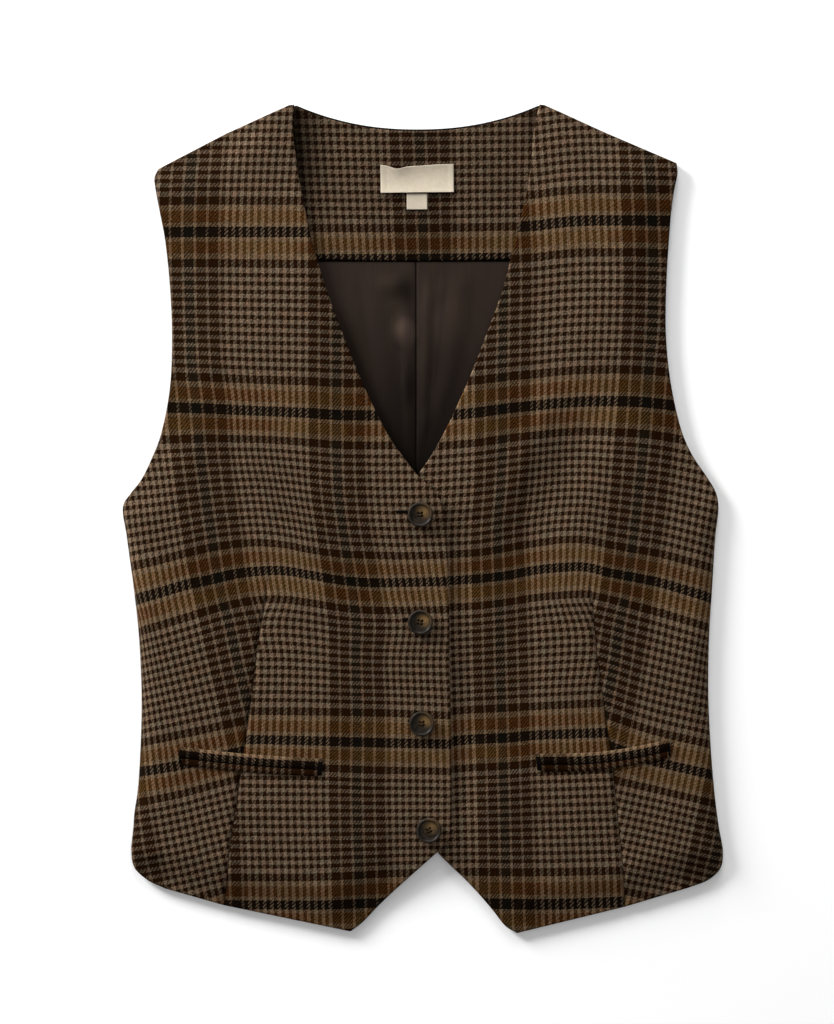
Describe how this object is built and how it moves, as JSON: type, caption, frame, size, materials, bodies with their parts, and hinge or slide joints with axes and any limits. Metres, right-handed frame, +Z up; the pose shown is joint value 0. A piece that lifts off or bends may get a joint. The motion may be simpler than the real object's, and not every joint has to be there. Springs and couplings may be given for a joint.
{
  "type": "suit waistcoat",
  "caption": "Sleeveless single-breasted suit waistcoat in checked wool, buttoned and laid flat, with a deep neck opening, darts, jetted pockets and pointed fronts.",
  "frame": {"origin": "middle of the underside, on the surface that the waistcoat lies on", "axes": "+Y to the neck, +X to the wearer's left, +Z up from the surface to the buttoned front"},
  "size_m": [0.4504, 0.623, 0.014],
  "materials": {
    "cloth": "woollen twill in a brown check with rust and black bands, matt with a soft nap",
    "lining": "dark brown satin with a soft sheen",
    "label": "ivory woven tape, bare",
    "button": "dark horn type, clouded, with a polished rim"
  },
  "bodies": {
    "root": {"back": "cloth", "front_right": "cloth", "front_left": "cloth", "back_facing": "cloth", "welt_right_upper": "cloth", "welt_right_lower": "cloth", "welt_left_upper": "cloth", "welt_left_lower": "cloth", "lining_left": "lining", "lining_right": "lining", "label_main": "label", "label_size": "label", "button_1": "button", "button_2": "button", "button_3": "button", "button_4": "button"}
  },
  "joints": []
}
